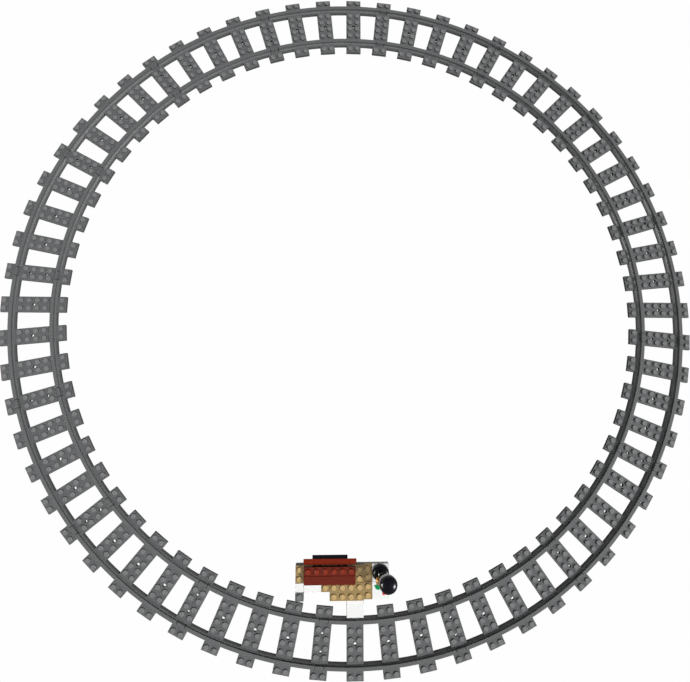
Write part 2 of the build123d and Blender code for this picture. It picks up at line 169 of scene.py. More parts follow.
def drum(name, x, y, low, high, radius, sides=24):
    """Upright cylinder, in millimetres."""
    bpy.ops.object.select_all(action="DESELECT")
    bpy.ops.mesh.primitive_cylinder_add(vertices=sides, radius=radius * mm, depth=(high - low) * mm,
                                        location=(x * mm, y * mm, (low + high) / 2 * mm))
    return added(name)


def edit(piece, mode="FACE"):
    """Enter edit mode with nothing selected."""
    only(piece)
    bpy.ops.object.mode_set(mode="EDIT")
    bpy.context.tool_settings.mesh_select_mode = (mode == "VERT", mode == "EDGE", mode == "FACE")
    bpy.ops.mesh.select_all(action="DESELECT")


def leave():
    """Back to object mode."""
    bpy.ops.object.mode_set(mode="OBJECT")


def pick(piece, kind, wanted):
    """Select the vertices, edges or faces whose middle, in millimetres, and normal pass a test."""
    mesh = bmesh.from_edit_mesh(piece.data)
    mesh.normal_update()
    for element in getattr(mesh, kind):
        corners = [element] if kind == "verts" else list(element.verts)
        middle = sum((v.co for v in corners), Vector()) / len(corners) / mm
        normal = getattr(element, "normal", None)
        element.select_set(bool(wanted(middle, normal)))
    mesh.select_flush_mode()
    bmesh.update_edit_mesh(piece.data)


def extrude(x, y, z):
    """Extrude what is selected, in millimetres."""
    bpy.ops.mesh.extrude_region_move(TRANSFORM_OT_translate={"value": (x * mm, y * mm, z * mm)})


def bevelled(piece, width=edge_round, segments=2, angle=40):
    """Round the sharp edges with a bevel modifier and apply it."""
    only(piece)
    bevel = piece.modifiers.new("edges", "BEVEL")
    bevel.width = width * mm
    bevel.segments = segments
    bevel.limit_method = "ANGLE"
    bevel.angle_limit = math.radians(angle)
    bpy.ops.object.modifier_apply(modifier=bevel.name)
    return piece


def cut(piece, cutter):
    """Take one piece's volume out of another."""
    only(piece)
    boolean = piece.modifiers.new("cut", "BOOLEAN")
    boolean.operation = "DIFFERENCE"
    boolean.solver = "EXACT"
    boolean.object = cutter
    bpy.ops.object.modifier_apply(modifier=boolean.name)
    bpy.data.objects.remove(cutter)
    return piece


def copied(piece, name, matrix):
    """Copy a piece with its own mesh, moved by a matrix that then goes into the mesh."""
    twin = piece.copy()
    twin.data = piece.data.copy()
    twin.name = name
    twin.data.name = name
    bpy.context.scene.collection.objects.link(twin)
    return moved(twin, matrix)


def moved(piece, matrix):
    """Move a piece and put the move into its mesh."""
    only(piece)
    piece.matrix_world = matrix
    bpy.ops.object.transform_apply(location=True, rotation=True, scale=True)
    return piece


def joined(name, pieces):
    """Join several meshes into the first."""
    only(pieces[0])
    for piece in pieces[1:]:
        piece.select_set(True)
    bpy.ops.object.join()
    pieces[0].name = name
    pieces[0].data.name = name
    return pieces[0]


def smoothed(piece, angle=35):
    """Smooth shading up to an angle, with the flat faces kept flat."""
    only(piece)
    bpy.ops.object.shade_smooth_by_angle(angle=math.radians(angle))
    weighted = piece.modifiers.new("normals", "WEIGHTED_NORMAL")
    weighted.keep_sharp = True
    bpy.ops.object.modifier_apply(modifier=weighted.name)
    return piece


def closed(piece):
    """Merge doubled points and turn every face outwards."""
    edit(piece, "VERT")
    bpy.ops.mesh.select_all(action="SELECT")
    bpy.ops.mesh.remove_doubles(threshold=0.0005 * mm)
    bpy.ops.mesh.normals_make_consistent(inside=False)
    leave()
    return piece


def spun(name, outline, turn=360, steps=48):
    """Turn an outline of (radius, height) points, in millimetres, about the Z axis.

    A full turn starts and ends on the axis; a part turn is of a closed outline and gets end faces.
    The spin operator turns clockwise for a positive angle, so the angle is given negated."""
    bpy.ops.object.select_all(action="DESELECT")
    first = outline[0]
    bpy.ops.mesh.primitive_plane_add(size=mm, location=(first[0] * mm, 0, first[1] * mm))
    piece = added(name)
    edit(piece, "VERT")
    bpy.ops.mesh.select_all(action="SELECT")
    bpy.ops.mesh.merge(type="CENTER")
    for before, after in zip(outline, outline[1:]):
        extrude(after[0] - before[0], 0, after[1] - before[1])
    bpy.ops.mesh.select_all(action="SELECT")
    if turn < 360:
        bpy.ops.mesh.edge_face_add()
    bpy.ops.mesh.spin(steps=steps, angle=-math.radians(turn), center=(0, 0, 0), axis=(0, 0, 1))
    leave()
    return closed(piece)


def ring(name, x, y, low, high, inner, outer, steps=24):
    """Upright tube, in millimetres."""
    outline = [(inner, low), (outer, low), (outer, high), (inner, high), (inner, low)]
    return moved(spun(name, outline, steps=steps), Matrix.Translation((x * mm, y * mm, 0)))


def handed_over(piece, body, slot_name, material, *nodes):
    """Give a finished piece its material and body, and hide the CAD nodes it stands for."""
    piece.data.materials.clear()
    piece.data.materials.append(material)
    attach(piece, body)
    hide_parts(*nodes)
    return piece


# ================================================================ finishes
class Value:
    """A shader socket or a number, so that shader maths reads as a Python expression."""

    def __init__(self, finish, source):
        self.finish = finish
        self.source = source

    def _math(self, operation, *terms):
        node = self.finish.nodes.new("ShaderNodeMath")
        node.operation = operation
        for socket, term in zip(node.inputs, terms):
            self.finish.feed(socket, term)
        return Value(self.finish, node.outputs[0])

    def __add__(self, other):
        return self._math("ADD", self, other)

    def __radd__(self, other):
        return self._math("ADD", other, self)

    def __sub__(self, other):
        return self._math("SUBTRACT", self, other)

    def __rsub__(self, other):
        return self._math("SUBTRACT", other, self)

    def __mul__(self, other):
        return self._math("MULTIPLY", self, other)

    def __rmul__(self, other):
        return self._math("MULTIPLY", other, self)


class Finish:
    """One material under construction."""

    def __init__(self, name):
        self.material = bpy.data.materials.new(name)
        self.material.use_nodes = True
        self.nodes = self.material.node_tree.nodes
        self.links = self.material.node_tree.links
        self.nodes.clear()
        self.place = self.node("ShaderNodeTexCoord", out="Object")

    def feed(self, socket, value):
        """Link a socket to a Value, or set it to a constant."""
        if isinstance(value, Value):
            self.links.new(value.source, socket)
        else:
            socket.default_value = value

    def node(self, kind, settings=(), out=0, **inputs):
        """Add a node: its settings first, then the values or links of its sockets."""
        node = self.nodes.new(kind)
        for key, value in dict(settings).items():
            if key == "stops":
                for stop, (position, colour) in zip(node.color_ramp.elements, value):
                    stop.position = position
                    stop.color = colour
            else:
                setattr(node, key, value)
        for key, value in inputs.items():
            label = key.replace("_", " ")
            self.feed(node.inputs[label if label in node.inputs else int(key[1:])], value)
        return Value(self, node.outputs[out])

    def noise(self, size, detail=3.0, stretch=(1, 1, 1)):
        """Noise whose patches are about size millimetres across."""
        where = self.place
        if stretch != (1, 1, 1):
            where = self.node("ShaderNodeMapping", Vector=self.place, Scale=stretch)
        return self.node("ShaderNodeTexNoise", Vector=where, Scale=1 / (size * mm), Detail=detail,
                         Roughness=0.55)

    def ramp(self, value, low, high):
        """Value stretched so that low gives 0 and high gives 1, and clamped."""
        return self.node("ShaderNodeMapRange", {"clamp": True}, Value=value, From_Min=low, From_Max=high)

    def blend(self, factor, first, second):
        """Colour between two colours."""
        mix = {"data_type": "RGBA", "clamp_factor": True}
        return self.node("ShaderNodeMix", mix, out=2, _0=factor, _6=first, _7=second)

    def darkened(self, colour, amount, factor):
        """Colour multiplied by factor where amount is 1."""
        mix = {"data_type": "RGBA", "blend_type": "MULTIPLY", "clamp_factor": True}
        return self.node("ShaderNodeMix", mix, out=2, _0=amount, _6=colour, _7=(factor, factor, factor, 1))

    def done(self, **sockets):
        """Close the material with one Principled shader."""
        return self.closed(self.node("ShaderNodeBsdfPrincipled", **sockets))

    def closed(self, shader):
        """Link a shader to the material's output."""
        output = self.nodes.new("ShaderNodeOutputMaterial")
        self.links.new(shader.source, output.inputs["Surface"])
        return self.material


def shade(colour, factor):
    """A colour made darker or lighter, with its alpha."""
    return (*[min(1.0, c * factor) for c in colour], 1.0)


def moulded(name, colour, gloss=0.22, variety=0.05, dust=0.25, coat=0.25,
            low_shade=None, high_shade=None, plate_top_shade=None):
    """Injection-moulded plastic: faint flow clouds, fine grain, hairline scratches and a little dust.

    Three optional arguments paint shade by height, in millimetres. The first, (low, high, darkest), is
    painted shade that darkens what lies below the heights, where shade falls low down on the pieces. The
    second, (height, factor), is painted shade that makes what lies above the height darker again. The third
    is how dark the painted shade makes the plate tops beside their studs, for plates stacked plate by
    plate."""
    finish = Finish(name)
    clouds = finish.noise(26, detail=4)
    flow = finish.noise(5, detail=3, stretch=(1, 1, 0.35))
    grain = finish.noise(0.5, detail=5)
    hair_east = finish.ramp(finish.noise(0.35, detail=2, stretch=(0.04, 1, 1)), 0.66, 0.74)
    hair_north = finish.ramp(finish.noise(0.35, detail=2, stretch=(1, 0.05, 1)), 0.67, 0.75)
    hairlines = finish.node("ShaderNodeMath", {"operation": "MAXIMUM"}, _0=hair_east, _1=hair_north)
    specks = finish.ramp(finish.noise(1.3, detail=6), 0.62, 0.8)
    body = finish.blend(clouds * 0.6 + flow * 0.4, shade(colour, 1 - variety), shade(colour, 1 + variety))
    height = finish.node("ShaderNodeSeparateXYZ", Vector=finish.place, out=2)
    # painted shade: everything below the given heights is darkened, in place of the shade low down between
    # studs and rails
    if low_shade:
        low_shade_mask = 1 - finish.ramp(height, low_shade[0] * mm, low_shade[1] * mm)
        body = finish.darkened(body, low_shade_mask, low_shade[2])
    if plate_top_shade:
        # painted shade: each plate top is darker than the stud tops above it, by the height within its
        # plate layer
        layers_up = height * (1 / plate_height / mm) - 0.016
        level = finish.node("ShaderNodeMath", {"operation": "FRACT"}, _0=layers_up)
        unshaded_band = finish.ramp(level, 0.1, 0.45) - finish.ramp(level, 0.88, 0.95)
        body = finish.darkened(body, 1 - unshaded_band, plate_top_shade)
    if high_shade:
        # painted shade: what lies above the given height is darkened
        body = finish.darkened(body, finish.ramp(height, (high_shade[0] - 0.3) * mm, high_shade[0] * mm), high_shade[1])
    worn = finish.blend(hairlines * 0.18, body, shade(colour, 1.5))
    dusty = finish.blend(specks * dust * 0.3, worn, (0.55, 0.54, 0.52, 1))
    roughness = gloss + (grain - 0.5) * 0.08 + hairlines * 0.18 + specks * dust * 0.35 + (flow - 0.5) * 0.06
    relief = grain * 0.1 + flow * 0.6 - hairlines * 0.35
    bump = finish.node("ShaderNodeBump", Strength=0.35, Distance=0.03 * mm, Height=relief)
    return finish.done(Base_Color=dusty, Roughness=roughness, Normal=bump, IOR=1.53, Coat_Weight=coat,
                       Coat_Roughness=0.12)


def pearl_gold(name):
    """Gold-pigmented plastic with fine metallic flakes and swirls."""
    finish = Finish(name)
    swirl = finish.noise(1.6, detail=5)
    flakes = finish.noise(0.12, detail=2)
    colour = finish.blend(swirl, (0.55, 0.24, 0.04, 1), (0.86, 0.52, 0.16, 1))
    bright = finish.blend(finish.ramp(flakes, 0.6, 0.75) * 0.4, colour, (1.0, 0.8, 0.45, 1))
    bump = finish.node("ShaderNodeBump", Strength=0.3, Distance=0.02 * mm, Height=flakes)
    return finish.done(Base_Color=bright, Roughness=0.3 + swirl * 0.15, Metallic=0.35 + flakes * 0.3,
                       Normal=bump, IOR=1.5)


# The track, grey, tan and red-brown plastics carry painted shade by height.
materials = {
    "track_plastic": moulded("track_plastic", (0.17, 0.173, 0.175), gloss=0.42, variety=0.07, dust=0.25,
                             coat=0.0, low_shade=(1.9, 4.9, 0.42), high_shade=(5.6, 0.68)),
    "grey_plastic": moulded("grey_plastic", (0.17, 0.172, 0.174), gloss=0.3, dust=0.2,
                            plate_top_shade=0.68),
    "tan_plastic": moulded("tan_plastic", (0.5, 0.345, 0.14), gloss=0.28, variety=0.04, dust=0.1,
                           plate_top_shade=0.6),
    "white_plastic": moulded("white_plastic", (0.81, 0.815, 0.805), gloss=0.26, variety=0.01, dust=0.1),
    "red_brown_plastic": moulded("red_brown_plastic", (0.22, 0.02, 0.005), gloss=0.3, variety=0.08,
                                 dust=0.06, coat=0.05, low_shade=(16.1, 17.6, 0.58)),
    "black_plastic": moulded("black_plastic", (0.004, 0.004, 0.007), gloss=0.27, dust=0.03, coat=0.0),
    "lamp_glass": moulded("lamp_glass", (0.9, 0.9, 0.885), gloss=0.12, variety=0.01, dust=0.05),
    "gold_plastic": pearl_gold("gold_plastic"),
    "green_plastic": moulded("green_plastic", (0.0, 0.27, 0.085), gloss=0.22, dust=0.05),
    "red_plastic": moulded("red_plastic", (0.6, 0.012, 0.016), gloss=0.22, dust=0.05),
}


# ================================================================ studs, plates and tiles
def stud(name, x, y, z, radius=stud_radius, height=stud_height):
    """Low round stud with a rounded rim, run a little into what it stands on."""
    piece = drum(name, x, y, z - stud_root, z + height, radius, stud_sides)
    edit(piece)
    pick(piece, "faces", lambda middle, normal: normal.z > 0.9)
    bpy.ops.mesh.region_to_loop()
    bpy.ops.mesh.bevel(offset=0.18 * mm, segments=1, affect="EDGES")
    leave()
    return piece


def plate(name, columns, rows, stud_places):
    """Hollow plate centred on the origin with its underside at height 0; a tile has no studs."""
    half_x = columns * pitch / 2 - edge_gap
    half_y = rows * pitch / 2 - edge_gap
    shell = block(name, (-half_x, -half_y, 0), (half_x, half_y, plate_height))
    edit(shell)
    pick(shell, "faces", lambda middle, normal: normal.z < -0.9)
    bpy.ops.mesh.inset(thickness=wall * mm)
    extrude(0, 0, recess_depth)
    if not stud_places:
        # a tile's outer walls taper in towards the lower edge
        bpy.ops.mesh.select_all(action="SELECT")
        bpy.ops.mesh.bisect(plane_co=(0, 0, 0.55 * mm), plane_no=(0, 0, 1))
        pick(shell, "verts", lambda middle, normal: middle.z < 0.5 and max(
            abs(middle.x) - half_x, abs(middle.y) - half_y) > -0.3)
        for axis, half in ((0, half_x), (1, half_y)):
            factor = [1, 1, 1]
            factor[axis] = (half - 0.25) / half
            bpy.ops.transform.resize(value=factor, center_override=(0, 0, 0))
    leave()
    parts = [bevelled(shell)]
    if columns > 1 and rows > 1:
        for i in range(columns - 1):
            for j in range(rows - 1):
                parts.append(ring("tube", (i + 1) * pitch - columns * pitch / 2,
                                  (j + 1) * pitch - rows * pitch / 2, 0.05,
                                  recess_depth + stud_root, tube_bore, tube_radius))
    elif columns * rows > 1:
        for i in range(max(columns, rows) - 1):
            along = (i + 1 - max(columns, rows) / 2) * pitch
            x, y = (along, 0) if columns > 1 else (0, along)
            parts.append(drum("pin", x, y, 0.05, recess_depth + stud_root, pin_radius))
    if stud_places:
        first = stud("stud", 0, 0, plate_height)
        parts += [copied(first, "stud", Matrix.Translation((x * mm, y * mm, 0))) for x, y in stud_places]
        bpy.data.objects.remove(first)
    return joined(name, parts)


def stud_grid(columns, rows):
    """Stud places of a plain plate."""
    return [((i - (columns - 1) / 2) * pitch, (j - (rows - 1) / 2) * pitch)
            for i in range(columns) for j in range(rows)]


halt_slots = {row["node"]: row["material_slot"] for row in frame["record"]["subparts"]}


def build_halt_plates():
    """Every level plate and tile of the halt, at the place and size of its CAD node."""
    special = {"lamp_base", "bench_hinge_plate_west", "bench_hinge_plate_east"}
    for node in sorted(frame["record"]["behaviour"]["bodies"]["halt"]):
        if node in special:
            continue
        low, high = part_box(node)
        columns = round(((high.x - low.x) / mm + 2 * edge_gap) / pitch)
        rows = round(((high.y - low.y) / mm + 2 * edge_gap) / pitch)
        studded = high.z - low.z > (plate_height + 0.1) * mm
        places = [] if not studded else [(0, 0)] if "jumper" in node else stud_grid(columns, rows)
        piece = plate(node + "_moulding", columns, rows, places)
        centre = ((low.x + high.x) / 2, (low.y + high.y) / 2, low.z)
        moved(piece, Matrix.Translation(centre))
        smoothed(piece)
        handed_over(piece, "halt", halt_slots[node], materials[halt_slots[node]], node)


# ================================================================ track
def rail_arc(name, radius, start, stop, slim=False):
    """Rail of a flared foot, a ledge, a web and a head, between two angles in degrees."""
    if slim:
        half = rail_head_half - joiner_inset
        top = rail_height - joiner_inset
        outline = [(-half, plate_height - stud_root), (half, plate_height - stud_root), (half, top),
                   (-half, top)]
    else:
        right = [(rail_foot_half, 0), (rail_foot_half, rail_toe), (rail_ledge_half, rail_ledge),
                 (rail_ledge_half - 0.2, rail_ledge + 0.12), (rail_web_half + 0.1, rail_ledge + 0.12),
                 (rail_web_half, rail_ledge + 0.5), (rail_web_half, rail_height - 1.5),
                 (rail_head_half, rail_height - 1.2), (rail_head_half, rail_height)]
        outline = right + [(-x, z) for x, z in reversed(right)]
    loop = [(radius + x, z) for x, z in outline]
    steps = max(2, round((stop - start) / 0.6))
    piece = spun(name, loop, turn=stop - start, steps=steps)
    bevelled(piece, width=0.18, segments=2, angle=50)
    return moved(piece, Matrix.Rotation(math.radians(start), 4, "Z"))


def tongue(name, rail_radius, side, play=0.0):
    """Dovetail that grows from the joint plane towards side, the shape of a joiner's foot."""
    reach = side * (joiner_length + play)
    low, high = sorted((-side * joint_gap, reach))
    root = tongue_root_half + play
    end = tongue_end_half + play
    piece = block(name, (rail_radius - end, low, 0 - play), (rail_radius + end, high, plate_height + play))
    edit(piece, "VERT")
    pick(piece, "verts", lambda middle, normal: abs(middle.y) < joiner_length / 2)
    bpy.ops.transform.resize(value=(root / end, 1, 1), center_override=(rail_radius * mm, 0, 0))
    leave()
    return piece


def sleeper_studs(offsets):
    """Studs across a sleeper at the given distances from its middle line."""
    first = stud("stud", 0, 0, plate_height)
    made = [copied(first, "stud", Matrix.Translation(((track_radius + row * pitch) * mm, side * mm, 0)))
            for row in stud_rows for side in offsets]
    bpy.data.objects.remove(first)
    return made


def whole_sleeper():
    """Sleeper two studs wide with a screw hole in its boss, lying across the line at angle 0."""
    body = block("sleeper", (track_radius - sleeper_half_length, -sleeper_half_width, 0),
                 (track_radius + sleeper_half_length, sleeper_half_width, plate_height))
    hollow = 2.5 * pitch - rail_foot_half - wall
    cut(body, block("hollow", (track_radius - hollow, wall - sleeper_half_width, -1),
                    (track_radius + hollow, sleeper_half_width - wall, sleeper_recess)))
    cut(body, drum("screw", track_radius, 0, -1, plate_height + 1, screw_hole_radius))
    parts = [bevelled(body)]
    parts.append(ring("boss", track_radius, 0, 0.02, sleeper_recess + stud_root,
                      screw_hole_radius + 0.02, screw_hole_radius + boss_wall))
    return joined("sleeper", parts + sleeper_studs((-pitch / 2, pitch / 2)))


def half_sleeper(side, socket_radius):
    """Half sleeper at a joint at angle 0, on its + or - side, with a socket for the neighbour's tongue."""
    near = side * joint_gap
    far = side * sleeper_half_width
    low, high = sorted((near, far))
    body = block("half_sleeper", (track_radius - sleeper_half_length, low, 0),
                 (track_radius + sleeper_half_length, high, plate_height))
    hollow = 2.5 * pitch - rail_foot_half - wall
    inside = sorted((near + side * wall, far - side * wall))
    cut(body, block("hollow", (track_radius - hollow, inside[0], -1),
                    (track_radius + hollow, inside[1], sleeper_recess)))
    for offset in (-pitch, pitch):
        cut(body, drum("screw", track_radius + offset, 0, -1, plate_height + 1, joint_hole_radius))
    cut(body, tongue("socket", socket_radius, side, socket_play))
    return joined("half_sleeper", [bevelled(body, width=0.16)] + sleeper_studs((side * pitch / 2,)))


def joiner(rail_radius, side):
    """Slim end of a rail that laps into the neighbour: dovetail foot, narrow head and two latch ribs."""
    reach = math.degrees((joiner_length - 0.05) / rail_radius)
    parts = [bevelled(tongue("joiner", rail_radius, side), width=0.16)]
    parts.append(rail_arc("joiner_head", rail_radius, -reach, reach, slim=True))
    top = rail_height - joiner_inset
    for along in (-1.5, 1.5):
        rib = block("latch", (rail_radius - 0.95, along - 0.45, top - 0.2),
                    (rail_radius + 0.95, along + 0.45, rail_height - 0.02))
        parts.append(bevelled(rib, width=0.1))
    return joined("joiner", parts)


def build_track():
    """One curved piece, modelled once from its joint at angle 0, then copied round the circle."""
    end = Matrix.Rotation(math.radians(segment_angle), 4, "Z")
    sleeper = whole_sleeper()
    parts = [copied(sleeper, "sleeper", Matrix.Rotation(math.radians(i * sleeper_angle), 4, "Z"))
             for i in (1, 2, 3)]
    bpy.data.objects.remove(sleeper)
    parts.append(half_sleeper(1, inner_rail))
    parts.append(moved(half_sleeper(-1, outer_rail), end))
    for radius in (inner_rail, outer_rail):
        lap = math.degrees((joiner_length + joiner_seam) / radius)
        parts.append(rail_arc("rail", radius, lap, segment_angle - lap))
    parts.append(joiner(outer_rail, -1))
    parts.append(moved(joiner(inner_rail, 1), end))
    master = smoothed(joined("track_master", parts))
    for number in range(1, 17):
        turn = math.radians(first_joint_angle + (number - 1) * segment_angle)
        piece = copied(master, f"track_curve_{number:02d}_moulding", Matrix.Rotation(turn, 4, "Z"))
        handed_over(piece, f"track_{number:02d}", "track_plastic", materials["track_plastic"],
                    f"track_curve_{number:02d}")
    bpy.data.objects.remove(master)


# ================================================================ bench
joints = {joint["name"]: joint for joint in frame["joints"]}
hinge = Vector(joints["bench_back_tilt"]["pos_m"]) / mm


def on_back(up, out):
    """Place on the leaning back: up along it and out from the bar's axis."""
    sine, cosine = math.sin(back_lean), math.cos(back_lean)
    turn = Matrix(((1, 0, 0), (0, sine, -cosine), (0, cosine, sine))).to_4x4()
    return Matrix.Translation(hinge * mm) @ turn @ Matrix.Translation((0, up * mm, out * mm))


def along_x():
    """Turn that lays the Z axis along X."""
    return Matrix.Rotation(math.radians(90), 4, "Y")


def build_hinge_plate(node):
    """Plate one stud wide with two open clip ears behind it."""
    low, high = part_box(node)
    middle = (low.x + high.x) / 2
    base_y = (low.y + pitch * mm - edge_gap * mm)
    on_platform = Matrix.Translation((middle, base_y, platform_top * mm))
    parts = [moved(plate("plate", 1, 2, stud_grid(1, 2)), on_platform)]
    grip = bar_radius + running_gap
    back_face = base_y / mm + pitch - edge_gap
    for side in (-1, 1):
        outline = [(grip, -ear_thickness / 2), (ear_radius, -ear_thickness / 2),
                   (ear_radius, ear_thickness / 2), (grip, ear_thickness / 2)]
        ear = bevelled(spun("ear", outline, turn=260, steps=30), width=0.15)
        open_up = Matrix.Rotation(math.radians(195), 4, "X")
        place = Matrix.Translation((middle + side * ear_offset * mm, hinge.y * mm, hinge.z * mm))
        parts.append(moved(ear, place @ open_up @ along_x()))
        centre = middle / mm + side * ear_offset
        web = block("web", (centre - ear_thickness / 2, back_face - 0.4, hinge.z - 1.4),
                    (centre + ear_thickness / 2, hinge.y - grip - 0.05, hinge.z + 1.4))
        parts.append(bevelled(web, width=0.12))
    piece = smoothed(joined(node + "_moulding", parts))
    handed_over(piece, "halt", "black_plastic", materials["black_plastic"], node)


def build_back():
    """Two smooth tiles on a black carrier plate whose bar turns in the ears."""
    for row, node in enumerate(("bench_back_tile_lower", "bench_back_tile_upper")):
        tile = plate(node + "_moulding", 6, 1, [])
        moved(tile, on_back(back_lift + (row + 0.5) * pitch, back_front - plate_height))
        handed_over(smoothed(tile), "bench_back", "red_brown_plastic", materials["red_brown_plastic"], node)
    out = back_front - 2 * plate_height
    parts = [moved(plate("plate", 4, 2, stud_grid(4, 2)), on_back(back_lift + pitch, out))]
    half = 2 * pitch - edge_gap
    bar = bevelled(drum("bar", 0, 0, -half, half, bar_radius), width=0.3)
    parts.append(moved(bar, Matrix.Translation(hinge * mm) @ along_x()))
    arm = block("arm", (1.2 - pitch, -0.8, -1.1), (pitch - 1.2, back_lift + 0.6, 1.1))
    edit(arm, "VERT")
    pick(arm, "verts", lambda middle, normal: middle.y > 0)
    bpy.ops.transform.translate(value=(0, 0, (out + plate_height / 2) * mm))
    leave()
    parts.append(moved(bevelled(arm, width=0.2), on_back(0, 0)))
    piece = smoothed(joined("bench_back_carrier_moulding", parts))
    handed_over(piece, "bench_back", "black_plastic", materials["black_plastic"], "bench_back_carrier")


# ================================================================ lamp
lamp_pivot = Vector(joints["lamp_turn"]["pos_m"])
lamp_tip = Vector((0, 0, 1)).rotation_difference(Vector(joints["lamp_turn"]["axis"])).to_matrix().to_4x4()
dome_top = lamp_floor + base_rim + base_crown
post_foot = dome_top + stud_height + 0.3


def upright():
    """Place of a lamp piece that stands straight on the lamp's foot."""
    return Matrix.Translation((lamp_pivot.x, lamp_pivot.y, 0))


def tipped():
    """Place of a lamp piece that leans with the post."""
    rise = Matrix.Translation((0, 0, -lamp_pivot.z))
    return Matrix.Translation(lamp_pivot) @ lamp_tip @ rise


def arc(radius, height, base, inner, steps=14):
    """Quarter ellipse from the rim up to a small flat, as (radius, height) points."""
    angles = [math.radians(90) * i / steps for i in range(1, steps + 1)]
    return [(inner + (radius - inner) * math.cos(a), base + height * math.sin(a)) for a in angles]


def build_lamp():
    """Foot dome, turned post, milky globe and domed cap."""
    round_edge = [(base_radius - 0.25, lamp_floor), (base_radius, lamp_floor + 0.25),
                  (base_radius, lamp_floor + base_rim)]
    socket = stud_radius + edge_gap
    bore = bar_radius + 0.2
    foot = [(0, lamp_floor + recess_depth), (socket, lamp_floor + recess_depth), (socket, lamp_floor)]
    foot += round_edge + arc(base_radius, base_crown, lamp_floor + base_rim, stud_radius + 0.6)
    foot += [(stud_radius, dome_top), (stud_radius, dome_top + stud_height - 0.2),
             (stud_radius - 0.2, dome_top + stud_height), (bore, dome_top + stud_height),
             (bore, dome_top - 2.5), (0, dome_top - 2.5)]
    base = smoothed(moved(spun("lamp_base_dome", foot, steps=64), upright()))
    handed_over(base, "halt", "black_plastic", materials["black_plastic"], "lamp_base")

    shaft, collar, head = 2.0, 3.0, 4.6
    turned = [(0, dome_top - 2.3), (bar_radius - 0.2, dome_top - 2.3), (bar_radius, dome_top - 2.1),
              (bar_radius, post_foot), (3.2, post_foot), (3.4, post_foot + 0.2), (3.4, post_foot + 0.8),
              (3.1, post_foot + 1.1), (2.5, post_foot + 1.7), (2.15, post_foot + 2.5),
              (shaft, post_foot + 3.2), (shaft, clip_low - 2.6), (2.4, clip_low - 2.2),
              (2.85, clip_low - 1.9), (collar, clip_low - 1.7), (collar, clip_low - 1.2),
              (2.8, clip_low - 1.0), (bar_radius, clip_low - 0.3), (bar_radius, clip_high + 0.3),
              (2.8, clip_high + 1.0), (collar, clip_high + 1.2), (collar, clip_high + 1.7),
              (2.85, clip_high + 1.9), (2.4, clip_high + 2.2), (shaft, clip_high + 2.6),
              (shaft, post_top - 4.2), (2.3, post_top - 3.5), (3.2, post_top - 2.4),
              (4.4, post_top - 1.2), (head, post_top - 0.8), (head, post_top - 0.15),
              (head - 0.15, post_top), (stud_radius, post_top), (stud_radius, post_top + stud_height - 0.2),
              (stud_radius - 0.2, post_top + stud_height), (0, post_top + stud_height)]
    post = smoothed(moved(spun("lamp_post_turned", turned), tipped()))
    handed_over(post, "lamp_top", "black_plastic", materials["black_plastic"], "lamp_post")

    top = post_top + globe_height
    bulge = []
    for t in range(21):
        swell = math.sin(math.pi * t / 20)
        width = 5.2 + 2.5 * swell ** 0.9 + 1.6 * t / 20 * (1 - swell)
        bulge.append((width, post_top + globe_height * t / 20))
    globe_outline = [(0, post_top + recess_depth), (socket, post_top + recess_depth), (socket, post_top)]
    globe_outline += bulge + [(stud_radius, top), (stud_radius, top + stud_height - 0.2),
                              (stud_radius - 0.2, top + stud_height), (0, top + stud_height)]
    globe = smoothed(moved(spun("lamp_globe_glass", globe_outline, steps=64), tipped()))
    handed_over(globe, "lamp_top", "lamp_glass", materials["lamp_glass"], "lamp_globe")

    dome = [(0, top + recess_depth), (socket, top + recess_depth), (socket, top), (cap_radius - 0.2, top),
            (cap_radius, top + 0.2), (cap_radius, top + cap_rim)]
    dome += arc(cap_radius, cap_crown, top + cap_rim, 0.4, 22) + [(0, top + cap_rim + cap_crown)]
    cap = smoothed(moved(spun("lamp_cap_dome", dome, steps=72), tipped()))
    handed_over(cap, "lamp_top", "black_plastic", materials["black_plastic"], "lamp_cap")


# ================================================================ ornaments
clip_middle = (clip_low + clip_high) / 2
twig_radius = 0.78
twig_top = clip_middle + 0.8
bud_spot = (-5.9, -1.1)
leaf_spot = (-6.0, -7.0)
bloom_spot = (0.8, -10.6)
fork = (-1.4, -5.6)


def twig(start, end):
    """Round twig between two points in plan, with rounded ends."""
    dx, dy = end[0] - start[0], end[1] - start[1]
    length = math.hypot(dx, dy)
    piece = bevelled(drum("twig", 0, 0, -0.5, length + 0.5, twig_radius, 14), width=0.4, segments=3)
    place = Matrix.Translation((start[0] * mm, start[1] * mm, clip_middle * mm))
    return moved(piece, place @ Matrix.Rotation(math.atan2(dy, dx), 4, "Z") @ along_x())


def build_clip():
    """Open clip round the post with a forked stem and a peg under each ornament."""
    grip = bar_radius + running_gap
    low, high = clip_low + 0.2 - clip_middle, clip_high - 0.2 - clip_middle
    outline = [(grip, low), (grip + 1.4, low), (grip + 1.4, high), (grip, high)]
    clip = bevelled(spun("clip", outline, turn=300, steps=36), width=0.15)
    opened = Matrix.Translation((0, 0, clip_middle * mm)) @ Matrix.Rotation(math.radians(120), 4, "Z")
    parts = [moved(clip, opened)]
    root = (0, -grip - twig_radius - 0.1)
    for start, end in ((root, fork), (fork, bloom_spot), (fork, leaf_spot), (fork, bud_spot)):
        parts.append(twig(start, end))
    for x, y in (bud_spot, leaf_spot, bloom_spot):
        parts.append(bevelled(drum("peg", x, y, clip_middle, twig_top + 1.3, 0.75, 14), width=0.15))
    piece = smoothed(moved(joined("ornament_clip_moulding", parts), tipped()))
    handed_over(piece, "ornaments", "black_plastic", materials["black_plastic"], "ornament_clip")


